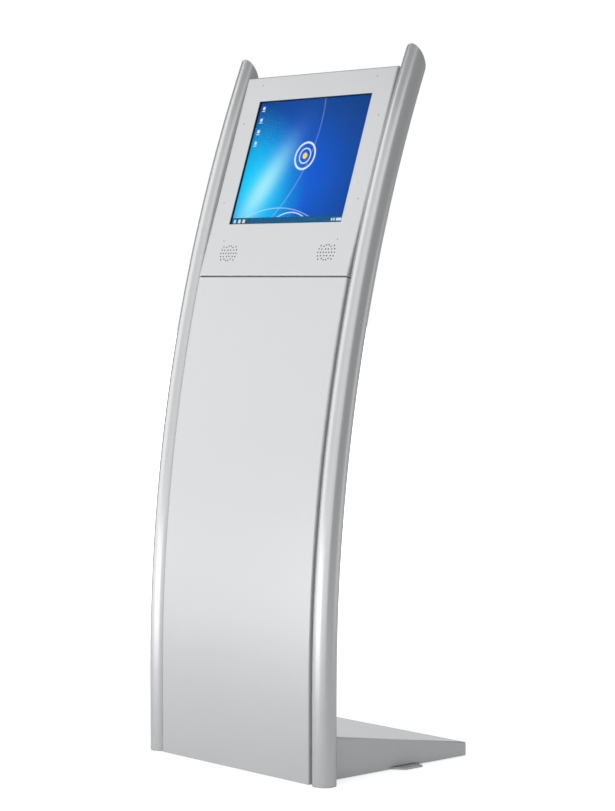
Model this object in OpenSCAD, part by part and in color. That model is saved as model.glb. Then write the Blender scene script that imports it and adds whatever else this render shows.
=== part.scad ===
// Touchscreen kiosk: a tilted display head and a curved front panel held
// between two curved round columns, on a wedge-shaped foot.
// Millimetres. The floor is Z = 0, visitors stand on the -Y side, and the
// origin is on the floor under the middle of the kiosk.

/* [Columns] */
// Outer diameter of the two side columns
tube_od = 48.3; // [46:0.1:48.3]
// Wall thickness of the columns
tube_wall = 2; // [1.5:0.5:3]
// Distance from the middle of the kiosk to a column's axis
column_x = 250; // [250:1:254]
// Radius of the columns' backward curve, at their axis
bend_r = 3270; // [3200:10:3400]
// Height of the straight foot of the columns
straight_h = 174; // [170:1:180]
// Angle through which the columns curve, up to their mitred ends
column_sweep = 22.37; // [22.3:0.01:22.8]
// Slope of the mitre below the horizontal, falling to the rear
mitre_slope = 65; // [60:1:70]

/* [Body] */
// Width of the front panels
body_w = 450; // [446:1:450]
// Distance of the lower panel's face in front of the column's axis
front_offset = 19; // [18:0.5:20]
// Distance of the back cover's face behind the column's axis
rear_offset = 42; // [40:0.5:44]
// Thickness of the cover sheets
sheet = 1.5; // [1.2:0.1:1.5]
// Thickness of the frame's side plates
plate = 2; // [2:0.5:2.5]
// Outside radius of the folded edges
fold_r = 3; // [2:0.5:4]
// Depth of the front panels' side returns
return_d = 12; // [10:1:12]

/* [Head] */
// Lean of the head's flat face from the vertical
head_lean = 18.43; // [18:0.01:18.8]
// Distance of the head's face in front of the column's axis
head_offset = 11.6; // [11:0.1:12.5]
// Height of the screen's centre along the face, above the nearest column point
screen_rise = 14; // [12:1:16]
// Top edge of the head above the screen's centre
head_top = 191; // [188:1:194]
// Bottom edge of the head below the screen's centre
head_drop = 248; // [246:1:249]
// Depth of the head from face to rear wall
head_d = 62; // [60:1:64]
// Width of the screen opening
screen_w = 340; // [336:1:342]
// Height of the screen opening
screen_h = 272; // [268:1:274]
// Shadow gap between the head and the lower body
seam_gap = 3; // [2:0.5:4]

/* [Foot] */
// Distance of the foot's rear wall behind the column's axis
foot_rear = 421; // [410:1:430]
// Height of the wedge cover at the body
foot_front_h = 88; // [84:1:92]
// Height of the wedge cover at its rear wall
foot_rear_h = 28; // [26:1:34]
// Thickness of the foot's floor plate
foot_plate = 4; // [3:0.5:5]
// Distance between the two floor anchor holes
anchor_pitch = 474; // [472:1:476]
// Diameter of the floor anchor holes
anchor_d = 10; // [9:0.5:11]

/* [Hidden] */

// Colours
silver_paint = [0.80, 0.81, 0.82];
zinc = [0.62, 0.64, 0.66];
black = [0.08, 0.08, 0.09];
screen_blue = [0.10, 0.38, 0.78];

// Roundness of large curves and of small round pieces
curve_fn = 256;
round_fn = 48;

// Places that follow from the driving sizes
tube_r = tube_od / 2;
bore_r = tube_r - tube_wall;
half_w = body_w / 2;
plate_x = half_w - sheet;              // outer face of the side plates
web_x = plate_x - plate;               // inner face of the side plates
front_in = sheet - front_offset;       // back of the lower panel's sheet
rear_in = rear_offset - sheet;         // front of the back cover's sheet
fold_in = fold_r - sheet;              // inside radius of the folded edges
mitre_spare = 1.5;                     // degrees swept beyond the mitre
cutter_size = 400;
cut = 1;                               // how far a cut runs past a surface

// Frame bolts: stations are lengths along the column's axis from the floor
body_stations = [70, 340, 610, 880];
head_stations = [1060, 1340];
boss_y = 10;                           // behind the column's axis
boss_r = 7;
boss_end = column_x - 12;
bolt_r = 4;
bolt_head_r = 7;
bolt_head_h = 4.4;
bolt_hex_r = 2.9;
bolt_hex_d = 2.5;
bolt_hole_r = 4.5;                     // clearance hole for a frame bolt
nut_r = 7.5;
nut_h = 6.5;

// Cover screws
screw_r = 2;
screw_hole_r = 2.2;
screw_head_r = 4;
screw_head_h = 2.4;
screw_len = 8;
recess_w = 1;                          // cross recess in the screw heads
recess_len = 4.6;
recess_d = 1.2;
seat = 0.01;                           // flat heads and nuts on the curved sheets
thread_fit = 0.05;                     // radial play of screws and studs in tapped holes
pin_fit = 0.05;                        // radial play of hinge pins

// Middle of the kiosk's depth, behind the column's axis
centre_y = (foot_rear + screw_head_h - tube_r) / 2;

// ---------- Frames of reference ----------

function sweep_at(s) = (s - straight_h) / bend_r * 180 / PI;

// From the column's foot, with Y = 0 on the column's axis, to the kiosk's frame
module kiosk() {
    translate([0, -centre_y, 0]) children();
}

// A place on the column's curve: Z along the column and Y to its rear
module on_curve(sweep) {
    translate([0, bend_r * (1 - cos(sweep)), straight_h + bend_r * sin(sweep)])
        rotate([-sweep, 0, 0]) children();
}

// A place at a length along the column's axis
module at_station(s) {
    if (s < straight_h) translate([0, 0, s]) children();
    else on_curve(sweep_at(s)) children();
}

// The head: the face is Y = 0, and Z runs up it from the screen's centre
module head() {
    kiosk() on_curve(head_lean) translate([0, -head_offset, screen_rise]) children();
}

// Sweeps a plan outline along the columns, from a height to an angle
module along_column(from_z, to_sweep) {
    translate([0, 0, from_z]) linear_extrude(straight_h - from_z) children();
    translate([0, bend_r, straight_h]) rotate([90, 0, -90])
        rotate_extrude(angle = to_sweep, $fn = curve_fn)
        translate([bend_r, 0]) mirror([1, 1]) children();
}

// A block above Z = 0, larger than anything it cuts
module cutter(w) {
    translate([-w / 2, -cutter_size / 2, 0]) cube([w, cutter_size, cutter_size]);
}

// Everything above the plane where the lower body ends under the head
module above_body() {
    on_curve(head_lean) translate([0, 0, screen_rise - head_drop - seam_gap])
        cutter(2 * cutter_size);
}

// ---------- Outlines and small solids ----------

// A rectangle from Y = 0 backwards whose two front corners are round
module front_round(w, d, r) {
    translate([-w / 2, r]) square([w, d - r]);
    translate([r - w / 2, 0]) square([w - 2 * r, d]);
    for (side = [-1, 1]) translate([side * (w / 2 - r), r]) circle(r, $fn = round_fn);
}

// A bar along Y from y0 to y1
module rod(r, y0, y1, fn = round_fn) {
    translate([0, y0, 0]) rotate([-90, 0, 0]) cylinder(r = r, h = y1 - y0, $fn = fn);
}

// A block centred on X and Z, from y0 to y1
module slab(w, y0, y1, h) {
    translate([-w / 2, y0, -h / 2]) cube([w, y1 - y0, h]);
}

// A slot with round ends, upright, through y0 to y1
module slot(len, r, y0, y1) {
    for (end = [-1, 1]) translate([0, 0, end * (len / 2 - r)]) rod(r, y0, y1);
    slab(2 * r, y0, y1, len - 2 * r);
}

module mirror_x() {
    children();
    mirror([1, 0, 0]) children();
}

// ---------- Columns ----------

// Above the mitre plane at the column's upper end
module above_mitre() {
    on_curve(column_sweep) rotate([column_sweep - mitre_slope, 0, 0])
        translate([column_x, 0, 0]) cutter(3 * tube_od);
}

module boss_places(stations) {
    for (s = stations) at_station(s) translate([0, boss_y, 0]) rotate([0, 90, 0]) children();
}

module column() {
    color(silver_paint) difference() {
        along_column(0, column_sweep + mitre_spare) translate([column_x, 0]) difference() {
            circle(tube_r, $fn = curve_fn);
            circle(bore_r, $fn = curve_fn);
        }
        above_mitre();
        boss_places(concat(body_stations, head_stations)) translate([0, 0, plate_x])
            cylinder(r = boss_r, h = boss_end - plate_x, $fn = round_fn);
    }
}

module left_column() { kiosk() mirror([1, 0, 0]) column(); }
module right_column() { kiosk() column(); }

// Oval plates that close the mitred ends, flush inside the tubes
cap_t = 2.5;
cap_sweep = 2;                         // degrees on each side of the mitre
module column_end_caps() {
    color(silver_paint) kiosk() mirror_x() intersection() {
        on_curve(column_sweep) rotate([column_sweep - mitre_slope, 0, 0])
            translate([column_x - tube_od, -2 * tube_od, -cap_t]) cube([2 * tube_od, 4 * tube_od, cap_t]);
        translate([0, bend_r, straight_h]) rotate([90, 0, -90])
            rotate_extrude(start = column_sweep - cap_sweep, angle = 2 * cap_sweep, $fn = curve_fn)
            translate([bend_r, -column_x]) circle(bore_r, $fn = curve_fn);
    }
}

// Moulded cups pressed into the columns' lower ends, flush with the floor
plug_h = 24;
plug_wall = 3;
module column_foot_plugs() {
    color(black) kiosk() mirror_x() translate([column_x, 0, 0]) difference() {
        cylinder(r = bore_r, h = plug_h, $fn = round_fn);
        translate([0, 0, plug_wall]) cylinder(r = bore_r - plug_wall, h = plug_h, $fn = round_fn);
    }
}

// Tapped bosses welded into the columns' inner sides
boss_fit = 0.05;
module column_bosses() {
    color(zinc) kiosk() mirror_x() boss_places(concat(body_stations, head_stations))
        translate([0, 0, plate_x]) difference() {
            cylinder(r = boss_r, h = boss_end - plate_x, $fn = round_fn);
            translate([0, 0, -cut])
                cylinder(r = bolt_r + boss_fit, h = boss_end - plate_x + 2 * cut, $fn = round_fn);
        }
}

// Button-head bolt with its head below Z = 0 and its shank above
module bolt(shank) {
    difference() {
        union() {
            translate([0, 0, -bolt_head_h]) cylinder(r = bolt_head_r, h = bolt_head_h, $fn = round_fn);
            cylinder(r = bolt_r, h = shank, $fn = round_fn);
        }
        translate([0, 0, -bolt_head_h - cut]) cylinder(r = bolt_hex_r, h = bolt_hex_d + cut, $fn = 6);
    }
}

// The joint between the head housing and the cross member under it
joint_x = 150;
joint_y = 36;
member_top = -head_drop + sheet;       // underside of the head housing
member_t = 2;
joint_bolt_len = 14;
module joint_places() {
    for (x = [-joint_x, joint_x]) translate([x, joint_y, member_top]) children();
}

module frame_bolts() {
    color(zinc) {
        kiosk() mirror_x() boss_places(concat(body_stations, head_stations))
            translate([0, 0, web_x]) bolt(boss_end - web_x + cut);
        head() joint_places() translate([0, 0, sheet]) mirror([0, 0, 1]) bolt(joint_bolt_len);
    }
}

module frame_nuts() {
    color(zinc) head() joint_places() translate([0, 0, -member_t - nut_h]) difference() {
        cylinder(r = nut_r, h = nut_h, $fn = 6);
        translate([0, 0, -cut]) cylinder(r = bolt_r + boss_fit, h = nut_h + 2 * cut, $fn = round_fn);
    }
}

// ---------- Lower body ----------

flange_w = 20;                         // width of the side plates' flanges
panel_bottom = 0.5;                    // clearance of the lower panel above the floor

// Folded channel that carries the front panel and the back cover
module side_plate() {
    color(zinc) difference() {
        along_column(foot_plate, head_lean) polygon([
            [plate_x - fold_in, front_in], [plate_x, front_in + fold_in], [plate_x, rear_in],
            [web_x - flange_w, rear_in], [web_x - flange_w, rear_in - plate],
            [web_x, rear_in - plate], [web_x, front_in + plate],
            [web_x - flange_w, front_in + plate], [web_x - flange_w, front_in]
        ]);
        above_body();
        boss_places(body_stations) translate([0, 0, web_x - cut])
            cylinder(r = bolt_hole_r, h = plate + 2 * cut, $fn = round_fn);
        front_stud_places() rod(stud_hole_r, front_in - cut, front_in + plate + cut);
        back_screw_places() rod(screw_hole_r, rear_in - plate - cut, rear_in + cut);
    }
}

module left_side_plate() { kiosk() mirror([1, 0, 0]) side_plate(); }
module right_side_plate() { kiosk() side_plate(); }

// Weld studs behind the lower panel, through the side plates' front flanges
stud_stations = [110, 380, 650, 920];
stud_r = 2;
stud_hole_r = 2.5;
stud_len = 10;                         // behind the panel
stud_x = web_x - flange_w / 2;
module front_stud_places() {
    for (s = stud_stations) at_station(s) translate([stud_x, 0, 0]) children();
}

panel_flange_y = 2;
panel_flange_d = 9;
module lower_front_panel() {
    color(silver_paint) kiosk() {
        difference() {
            along_column(panel_bottom, head_lean) translate([0, -front_offset]) difference() {
                front_round(body_w, return_d, fold_r);
                translate([0, sheet]) front_round(body_w - 2 * sheet, return_d, fold_in);
            }
            above_body();
        }
        on_curve(head_lean) translate([0, -head_offset, screen_rise]) panel_top_flange();
        mirror_x() front_stud_places() rod(stud_r, front_in - sheet / 2, front_in + stud_len);
    }
}

// Stiffening flange folded back along the top edge, under the shadow gap
module panel_top_flange() {
    reach = web_x - flange_w - 1;
    translate([-reach, panel_flange_y, -head_drop - seam_gap - sheet])
        cube([2 * reach, panel_flange_d, sheet]);
}

panel_nut_r = 4;
panel_nut_h = 3.2;
module front_panel_nuts() {
    color(zinc) kiosk() mirror_x() front_stud_places() difference() {
        rod(panel_nut_r, front_in + plate + seat, front_in + plate + panel_nut_h, 6);
        rod(stud_r + thread_fit, front_in, front_in + stud_len);
    }
}

// Square tube across the bottom of the body, standing on the floor plate
cross_tube = 36;
cross_tube_y = -12;
module bottom_cross_tube() {
    color(zinc) kiosk() translate([-web_x, cross_tube_y, foot_plate]) difference() {
        cube([2 * web_x, cross_tube, cross_tube]);
        translate([-cut, plate, plate])
            cube([2 * (web_x + cut), cross_tube - 2 * plate, cross_tube - 2 * plate]);
    }
}

// Channel across the top of the lower body, which the head stands on
member_y0 = 14;
member_y1 = 58;
member_h = 22;
cable_slot = [90, 22];
cable_slot_y = 24;
cable_slot_h = 20;
module middle_cross_member() {
    color(zinc) head() translate([0, 0, member_top]) difference() {
        translate([-web_x, member_y0, -member_h]) cube([2 * web_x, member_y1 - member_y0, member_h]);
        translate([-web_x - cut, member_y0 + plate, -member_h - cut])
            cube([2 * (web_x + cut), member_y1 - member_y0 - 2 * plate, member_h + cut - member_t]);
        cable_opening();
        for (x = [-joint_x, joint_x]) translate([x, joint_y, -member_t - cut])
            cylinder(r = bolt_hole_r, h = member_t + 2 * cut, $fn = round_fn);
    }
}

// Opening for the leads between the body and the head, around Z = 0
module cable_opening() {
    translate([-cable_slot[0] / 2, cable_slot_y, -cable_slot_h / 2])
        cube([cable_slot[0], cable_slot[1], cable_slot_h]);
}

// ---------- Back cover and sockets ----------

back_screw_stations = [150, 370, 640, 910];
module back_screw_places() {
    for (s = back_screw_stations) at_station(s) translate([stud_x, 0, 0]) children();
}

back_bottom = foot_front_h + 2;
io_z = 131;                            // height of the sockets' row
io_window = [128, 36];
io_plate_size = [164, 62];
io_screw_x = 73;
io_screw_z = 24;
vent_rows = [470, 560];
vent_count = 12;
vent_pitch = 16;
vent_len = 46;
vent_r = 2;

module io_screw_places() {
    for (x = [-io_screw_x, io_screw_x], z = [-io_screw_z, io_screw_z])
        translate([x, 0, io_z + z]) children();
}

module lower_back_cover() {
    color(silver_paint) kiosk() difference() {
        along_column(back_bottom, head_lean) translate([-plate_x, rear_in])
            square([2 * plate_x, sheet]);
        above_body();
        translate([0, 0, io_z]) slab(io_window[0], rear_in - cut, rear_offset + cut, io_window[1]);
        for (s = vent_rows, i = [0 : vent_count - 1]) at_station(s)
            translate([(i - (vent_count - 1) / 2) * vent_pitch, 0, 0])
            slot(vent_len, vent_r, rear_in - cut, rear_offset + cut);
        mirror_x() back_screw_places() rod(screw_hole_r, rear_in - cut, rear_offset + cut);
        io_screw_places() rod(screw_hole_r, rear_in - cut, rear_offset + cut);
    }
}

// Pan-head screw whose head stands behind Y = 0 and whose shank runs forward
module screw(shank) {
    difference() {
        union() {
            rod(screw_head_r, 0, screw_head_h);
            rod(screw_r, -shank, 0);
        }
        for (turn = [0, 90]) rotate([0, turn, 0])
            slab(recess_w, screw_head_h - recess_d, screw_head_h + cut, recess_len);
    }
}

tab_xs = [-150, 0, 150];
tab_z = 15;
module cover_screws() {
    color(zinc) {
        kiosk() {
            mirror_x() back_screw_places() translate([0, rear_offset + seat, 0]) screw(screw_len);
            io_screw_places() translate([0, rear_offset, 0]) screw(screw_len - cut);
            for (x = tab_xs) translate([x, foot_rear, tab_z]) screw(screw_len);
        }
        head() fan_screw_places() translate([0, head_d, 0]) screw(screw_len);
    }
}

io_front = rear_in - plate;            // front face of the socket plate
inlet_x = -35;
switch_x = 4;
button_x = 27;
network_x = 50;
inlet_body = [27.4, 20];
switch_body = [13, 19];
button_r = 8;
network_body = [16, 14];

module io_plate() {
    color(zinc) kiosk() difference() {
        translate([0, 0, io_z]) slab(io_plate_size[0], io_front, rear_in, io_plate_size[1]);
        for (hole = [[inlet_x, inlet_body], [switch_x, switch_body], [network_x, network_body]])
            translate([hole[0], 0, io_z])
            slab(hole[1][0], io_front - cut, rear_in + cut, hole[1][1]);
        translate([button_x, 0, io_z]) rod(button_r, io_front - cut, rear_in + cut);
        io_screw_places() rod(screw_r + thread_fit, io_front - cut, rear_in + cut);
    }
}

// Appliance inlet: a screw flange and a cavity with clipped lower corners
inlet_flange = [48, 22.4];
inlet_flange_t = 2.5;
inlet_depth = 22;
inlet_cavity = [24, 16.4];
inlet_cavity_d = 16;
inlet_corner = 4;
inlet_floor = rear_in + inlet_flange_t - inlet_cavity_d;
pin_size = [2, 4];
pin_len = 10;
pin_root = 4;                          // length set into the inlet's body
module power_inlet() {
    cavity_x = inlet_cavity[0] / 2;
    cavity_z = inlet_cavity[1] / 2;
    color(black) kiosk() translate([inlet_x, 0, io_z]) difference() {
        union() {
            slab(inlet_flange[0], rear_in, rear_in + inlet_flange_t, inlet_flange[1]);
            slab(inlet_body[0], rear_in - inlet_depth, rear_in, inlet_body[1]);
        }
        translate([0, rear_in + inlet_flange_t + cut, 0]) rotate([90, 0, 0])
            linear_extrude(inlet_cavity_d + cut) polygon([
                [-cavity_x, cavity_z], [cavity_x, cavity_z],
                [cavity_x, inlet_corner - cavity_z], [cavity_x - inlet_corner, -cavity_z],
                [inlet_corner - cavity_x, -cavity_z], [-cavity_x, inlet_corner - cavity_z]
            ]);
        pin_places() slab(pin_size[0], inlet_floor - pin_root, inlet_floor + cut, pin_size[1]);
    }
}

// The inlet's three blades
module pin_places() {
    for (p = [[-7, -2], [0, 2], [7, -2]]) translate([p[0], 0, p[1]]) children();
}
module inlet_pins() {
    color([0.75, 0.72, 0.6]) kiosk() translate([inlet_x, 0, io_z]) pin_places()
        slab(pin_size[0], inlet_floor - pin_root, inlet_floor + pin_len, pin_size[1]);
}

// Mains rocker switch: the rocker turns on a cross pin in the housing
switch_flange = [15.4, 21.4];
switch_flange_t = 2;
switch_depth = 13;
rocker_cavity = [11.6, 18.2];
rocker_cavity_d = 10;
rocker_pin_y = rear_in - 1.4;
rocker_pin_r = 1;
rocker_pin_len = 12.4;
rocker_w = 11;
rocker_half = 7.8;
rocker_back = 3;                       // depth of the rocker in front of and behind its pin
rocker_edge = 5;
rocker_dip = 3.4;
rocker_tilt = 12;
module switch_housing() {
    color(black) kiosk() translate([switch_x, 0, io_z]) difference() {
        union() {
            slab(switch_flange[0], rear_in, rear_in + switch_flange_t, switch_flange[1]);
            slab(switch_body[0], rear_in - switch_depth, rear_in, switch_body[1]);
        }
        slab(rocker_cavity[0], rear_in - rocker_cavity_d, rear_in + switch_flange_t + cut, rocker_cavity[1]);
        translate([-rocker_pin_len / 2 - 0.1, rocker_pin_y, 0]) rotate([0, 90, 0])
            cylinder(r = rocker_pin_r + pin_fit, h = rocker_pin_len + 0.2, $fn = round_fn);
    }
}

module switch_rocker() {
    color(black) kiosk() translate([switch_x, rocker_pin_y, io_z]) rotate([-rocker_tilt, 0, 0]) {
        translate([-rocker_w / 2, 0, 0]) rotate([90, 0, 90]) linear_extrude(rocker_w) polygon([
            [-rocker_back, 1 - rocker_half], [rocker_edge, -rocker_half], [rocker_dip, 0],
            [rocker_edge, rocker_half], [-rocker_back, rocker_half - 1]
        ]);
        translate([-rocker_pin_len / 2, 0, 0]) rotate([0, 90, 0])
            cylinder(r = rocker_pin_r, h = rocker_pin_len, $fn = round_fn);
    }
}

// Push button that starts the computer
button_flange_r = 9.5;
button_flange_t = 2.4;
button_depth = 16;
button_bore_d = 12;
cap_r = 6.3;
cap_fit = 0.1;
cap_proud = 2.9;
cap_depth = 8;
cap_wall = 1.5;
module button_housing() {
    color([0.7, 0.71, 0.73]) kiosk() translate([button_x, 0, io_z]) difference() {
        union() {
            rod(button_flange_r, rear_in, rear_in + button_flange_t);
            rod(button_r, rear_in - button_depth, rear_in);
        }
        rod(cap_r + cap_fit, rear_in - button_bore_d, rear_in + button_flange_t + cut);
    }
}

module button_cap() {
    color(silver_paint) kiosk() translate([button_x, 0, io_z]) difference() {
        rod(cap_r, rear_in - cap_depth, rear_in + cap_proud);
        rod(cap_r - cap_wall, rear_in - cap_depth - cut, rear_in);
    }
}

// Network socket with a stepped cavity for the plug's latch
socket_depth = 21;
socket_proud = 1;
jack_d = 13;
jack = [12, 8];
jack_z = 1;                            // the plug's opening, above the socket's middle
latch = [6, 3];
latch_z = -4;
module network_socket() {
    color([0.6, 0.6, 0.62]) kiosk() translate([network_x, 0, io_z]) difference() {
        slab(network_body[0], rear_in - socket_depth, rear_in + socket_proud, network_body[1]);
        translate([0, 0, jack_z]) slab(jack[0], rear_in - jack_d, rear_in + socket_proud + cut, jack[1]);
        translate([0, 0, latch_z]) slab(latch[0], rear_in - jack_d, rear_in + socket_proud + cut, latch[1]);
    }
}

// ---------- Equipment in the lower body ----------

equipment_station = 515;
equipment_y = -12;
equipment_h = 200;
equipment_flange = 16;
weld_gap = 0.05;                       // between the flanges and the side plates
module equipment_plate() {
    color(zinc) kiosk() at_station(equipment_station) {
        slab(2 * web_x - plate, equipment_y, equipment_y + plate, equipment_h);
        mirror_x() translate([web_x - plate - weld_gap, equipment_y, -equipment_h / 2])
            cube([plate, equipment_flange, equipment_h]);
    }
}

// Power supply: a vented case with a step at one end for its terminal block
supply_size = [159, 30, 98];
supply_x = -20;
supply_step = [18, 14];                // width of the step, and depth of the case there
supply_hole_r = 2.5;
supply_hole_pitch = 14;
supply_hole_x = -20;
terminal_size = [14, 12, 80];
terminal_inset = 2;
module power_supply() {
    supply_y = equipment_y + plate;
    supply_back = supply_y + supply_size[1];
    supply_end = -supply_size[0] / 2;
    color([0.7, 0.7, 0.72]) kiosk() at_station(equipment_station) translate([supply_x, 0, 0]) {
        difference() {
            slab(supply_size[0], supply_y, supply_back, supply_size[2]);
            translate([supply_end - cut, supply_y + supply_step[1], -supply_size[2] / 2 - cut])
                cube([supply_step[0] + cut, supply_size[1], supply_size[2] + 2 * cut]);
            for (i = [0 : 4], j = [-2 : 2])
                translate([i * supply_hole_pitch + supply_hole_x, 0, j * supply_hole_pitch])
                rod(supply_hole_r, supply_back - cut, supply_back + cut);
        }
        translate([supply_end + terminal_inset, supply_y + supply_step[1], -terminal_size[2] / 2])
            cube(terminal_size);
    }
}

// ---------- Foot ----------

foot_front = front_in;                 // front edge of the floor plate
foot_inner_rear = foot_rear - sheet;
lug_y = 248;                           // anchor hole behind the column's axis
lug_x = 249.5;
lug_root = [-43, 27];                  // lug's root and outer edge, along the foot from its hole
lug_edge = [-23, 23];
notch_front = 46;                      // the cover's notch round the lug
notch_back = 38;
notch_h = 5;
tab_w = 24;
tab_t = 3;
tab_h = 22;
wedge_gap = 0.3;                       // between the cover and the body behind it
wedge_spare = 20;                      // how far the sloping top is made past the walls
foot_slope = atan((foot_front_h - foot_rear_h) / (foot_rear - rear_in));

module foot_floor_plate() {
    color(zinc) kiosk() {
        difference() {
            linear_extrude(foot_plate) union() {
                polygon([
                    [fold_in - plate_x, foot_front], [plate_x - fold_in, foot_front],
                    [plate_x, foot_front + fold_in], [plate_x, foot_inner_rear],
                    [-plate_x, foot_inner_rear], [-plate_x, foot_front + fold_in]
                ]);
                mirror_x() polygon([
                    [plate_x - cut, lug_y + lug_root[0]], [lug_x, lug_y + lug_edge[0]],
                    [lug_x, lug_y + lug_edge[1]], [plate_x - cut, lug_y + lug_root[1]]
                ]);
            }
            for (x = [-1, 1]) translate([x * anchor_pitch / 2, lug_y, -cut])
                cylinder(d = anchor_d, h = foot_plate + 2 * cut, $fn = round_fn);
        }
        for (x = tab_xs) difference() {
            translate([x - tab_w / 2, foot_inner_rear - tab_t, foot_plate - cut]) cube([tab_w, tab_t, tab_h]);
            translate([x, 0, tab_z])
                rod(screw_r + thread_fit, foot_inner_rear - tab_t - cut, foot_inner_rear + cut);
        }
    }
}

gusset_x = stud_x;
gusset_t = 4;
gusset_rear = 260;
gusset_top = 76;
gusset_nose = 16;
gusset_flat = 6;                       // length of the gusset's level top
module foot_gussets() {
    color(zinc) kiosk() mirror_x() translate([gusset_x - gusset_t / 2, 0, 0]) rotate([90, 0, 90])
        linear_extrude(gusset_t) polygon([
            [rear_in, foot_plate], [gusset_rear, foot_plate], [gusset_rear, gusset_nose],
            [rear_in + gusset_flat, gusset_top], [rear_in, gusset_top]
        ]);
}

// The wedge's outside, or its hollow when inset by the sheet, with round upper edges
module wedge(inset) {
    front = rear_in + wedge_gap - inset;
    intersection() {
        translate([-half_w + inset, 0, 0]) rotate([90, 0, 90]) linear_extrude(body_w - 2 * inset)
            polygon([
                [front, panel_bottom - inset], [foot_rear - inset, panel_bottom - inset],
                [foot_rear - inset, foot_rear_h + wedge_spare], [front, foot_front_h + wedge_spare]
            ]);
        translate([0, rear_in - wedge_spare,
            foot_front_h + wedge_spare * tan(foot_slope) - inset / cos(foot_slope)])
            rotate([-foot_slope, 0, 0]) rotate([-90, 0, 0]) linear_extrude(foot_rear + 2 * wedge_spare)
            front_round(body_w - 2 * inset, 2 * foot_front_h, fold_r - inset);
    }
}

module foot_cover() {
    color(silver_paint) kiosk() difference() {
        wedge(0);
        wedge(sheet);
        for (side = [-1, 1])
            translate([side * half_w - 2 * sheet, lug_y - notch_front, -notch_h])
            cube([4 * sheet, notch_front + notch_back, 2 * notch_h]);
        for (x = tab_xs) translate([x, 0, tab_z]) rod(screw_hole_r, foot_inner_rear - cut, foot_rear + cut);
    }
}

// ---------- Head shell ----------

housing_top = head_top - sheet;
housing_bottom = -head_drop + sheet;
rear_wall = head_d - sheet;            // front of the head's rear wall
door_half = 190;
door_gap = 1.5;
door_top = 83;
door_bottom = -228;
lip_t = 1.5;
lip_d = 14;
fan_x = 70;
fan_z = 137;
fan_size = 60;
fan_bolt = 50;
fan_bore = 28;

module door_hole(grow, y0, y1) {
    translate([-door_half - grow, y0, door_bottom - grow])
        cube([2 * (door_half + grow), y1 - y0, door_top - door_bottom + 2 * grow]);
}

module fan_screw_places() {
    for (x = [-fan_x, fan_x], dx = [-1, 1], dz = [-1, 1])
        translate([x + dx * fan_bolt / 2, 0, fan_z + dz * fan_bolt / 2]) children();
}

// Ring slots that guard one fan, broken by four spokes
guard_radii = [7, 13, 19, 25];
guard_slot_w = 3.6;
guard_spoke_w = 3.5;
module fan_guard() {
    difference() {
        for (r = guard_radii) difference() {
            rod(r + guard_slot_w / 2, rear_wall - cut, head_d + cut);
            rod(r - guard_slot_w / 2, rear_wall - 2 * cut, head_d + 2 * cut);
        }
        for (turn = [45, 135]) rotate([0, turn, 0])
            slab(fan_size, rear_wall - 3 * cut, head_d + 3 * cut, guard_spoke_w);
    }
}

module head_housing() {
    color(silver_paint) head() difference() {
        union() {
            difference() {
                translate([-plate_x, fold_r, housing_bottom])
                    cube([2 * plate_x, head_d - fold_r, housing_top - housing_bottom]);
                translate([-web_x, 0, housing_bottom + sheet])
                    cube([2 * web_x, rear_wall, housing_top - housing_bottom - 2 * sheet]);
            }
            door_hole(door_gap + lip_t, head_d - lip_d, rear_wall + sheet / 2);
        }
        door_hole(door_gap, head_d - lip_d - cut, head_d + cut);
        for (x = [-fan_x, fan_x]) translate([x, 0, fan_z]) fan_guard();
        fan_screw_places() rod(screw_hole_r, rear_wall - cut, head_d + cut);
        translate([0, 0, housing_bottom]) cable_opening();
        for (x = [-joint_x, joint_x]) translate([x, joint_y, housing_bottom - cut])
            cylinder(r = bolt_hole_r, h = sheet + 2 * cut, $fn = round_fn);
        head_bolt_holes();
    }
}

// The side bolts' clearance holes, seen from the head's own frame
module head_bolt_holes() {
    translate([0, head_offset, -screen_rise]) rotate([head_lean, 0, 0])
        translate([0, -bend_r * (1 - cos(head_lean)), -straight_h - bend_r * sin(head_lean)])
        boss_places(head_stations) translate([0, 0, -plate_x - cut])
        cylinder(r = bolt_hole_r, h = 2 * (plate_x + cut), $fn = round_fn);
}

// ---------- Bezel ----------

face_h = head_top + head_drop;
stud_spots = [[172.5, 172], [203.5, 88], [203.5, -88], [172.5, -172]];
bezel_stud_r = 1.4;
bezel_stud_len = 10;
bezel_nut_r = 3;
bezel_nut_h = 2.4;
speaker_x = 148.5;
speaker_z = -199.2;
grille_r = 1.6;
grille_step = 8;
grille_fn = 24;

// The bezel's outside or inside: front, side, top and bottom edges folded
module bezel_block(inset, depth) {
    intersection() {
        translate([0, inset, inset - head_drop]) linear_extrude(face_h - 2 * inset)
            front_round(body_w - 2 * inset, depth, fold_r - inset);
        translate([-half_w, inset, (head_top - head_drop) / 2]) rotate([0, 90, 0])
            linear_extrude(body_w) front_round(face_h - 2 * inset, depth, fold_r - inset);
    }
}

// Round speaker grille: a centre hole, two rings, and part of a third at the sides
module grille_hole(ring, turn) {
    rotate([0, turn, 0]) translate([ring * grille_step, 0, 0])
        rod(grille_r, -cut, sheet + cut, grille_fn);
}

module grille_holes() {
    inner_count = 6;
    middle_count = 14;
    grille_hole(0, 0);
    for (i = [1 : inner_count]) grille_hole(1, i * 360 / inner_count);
    for (i = [1 : middle_count]) grille_hole(2, i * 360 / middle_count);
    for (side = [0, 180], a = [-36 : 18 : 36]) grille_hole(3, side + a);
}

module head_bezel() {
    color(silver_paint) head() difference() {
        bezel_block(0, return_d);
        bezel_block(sheet, return_d);
        slab(screen_w, -cut, sheet + cut, screen_h);
        for (x = [-speaker_x, speaker_x]) translate([x, 0, speaker_z]) grille_holes();
        bezel_stud_places() rod(bezel_stud_r, -cut, sheet + cut);
    }
}

module bezel_stud_places() {
    mirror_x() for (p = stud_spots) translate([p[0], 0, p[1]]) children();
}

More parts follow.
